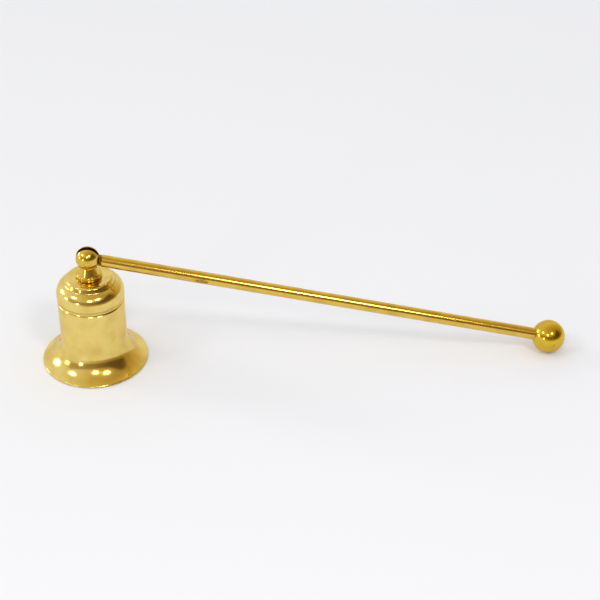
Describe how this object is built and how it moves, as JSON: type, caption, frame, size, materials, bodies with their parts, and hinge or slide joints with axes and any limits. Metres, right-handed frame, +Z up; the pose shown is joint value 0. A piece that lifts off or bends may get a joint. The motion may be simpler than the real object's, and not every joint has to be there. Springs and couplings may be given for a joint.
{
  "type": "candle snuffer",
  "caption": "Brass candle snuffer: a flared bell with a slotted ball hinge on its crown and a long rod handle that swings over it and ends in a ball.",
  "frame": {"origin": "centre of the bell's mouth, on the plane of its rim", "axes": "+Z up along the bell's axis, +X along the handle towards its end ball, +Y along the hinge pin"},
  "size_m": [0.1924, 0.0384, 0.048],
  "materials": {
    "bell_brass": "spun and polished",
    "handle_brass": "turned and polished",
    "fixing_brass": "as turned",
    "washer_steel": "zinc plated spring steel"
  },
  "bodies": {
    "bell": {"bell": "bell_brass", "finial": "handle_brass", "finial_screw": "fixing_brass", "lock_washer": "washer_steel", "plain_washer": "fixing_brass", "pivot_pin": "handle_brass"},
    "handle": {"handle_rod": "handle_brass", "end_ball": "handle_brass"}
  },
  "joints": [
    {"name": "handle_swing", "type": "hinge", "parent": "bell", "child": "handle", "pos_m": [0, 0, 0.0438], "axis": [0, -1, 0], "range_deg": [-6.2, 211.6]}
  ]
}
